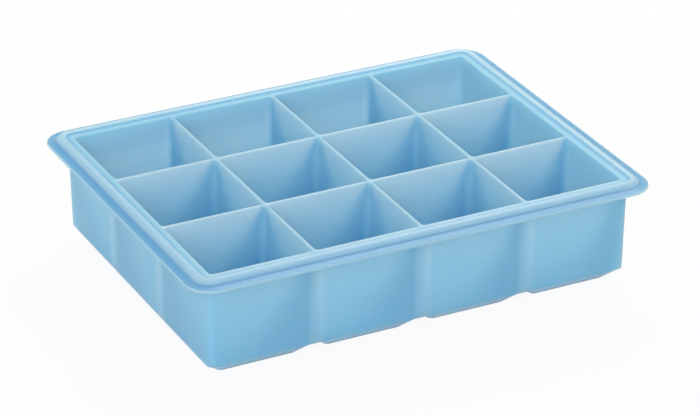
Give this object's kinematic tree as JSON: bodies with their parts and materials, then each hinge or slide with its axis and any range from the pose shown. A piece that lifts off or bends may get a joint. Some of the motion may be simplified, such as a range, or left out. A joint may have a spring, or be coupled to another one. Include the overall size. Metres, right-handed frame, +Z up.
{
  "type": "ice cube tray",
  "caption": "Flexible ice cube tray moulded in one piece: a grid of square cells with thin dividers under a flat flange with a raised bead.",
  "frame": {"origin": "middle of the footprint, on the surface that the tray stands on", "axes": "+X along the longer side, +Y across it, +Z up, out of the cells' mouths"},
  "size_m": [0.1576, 0.1216, 0.0358],
  "materials": {
    "silicone": "satin, translucent light blue"
  },
  "bodies": {
    "root": {"tray": "silicone"}
  },
  "joints": []
}
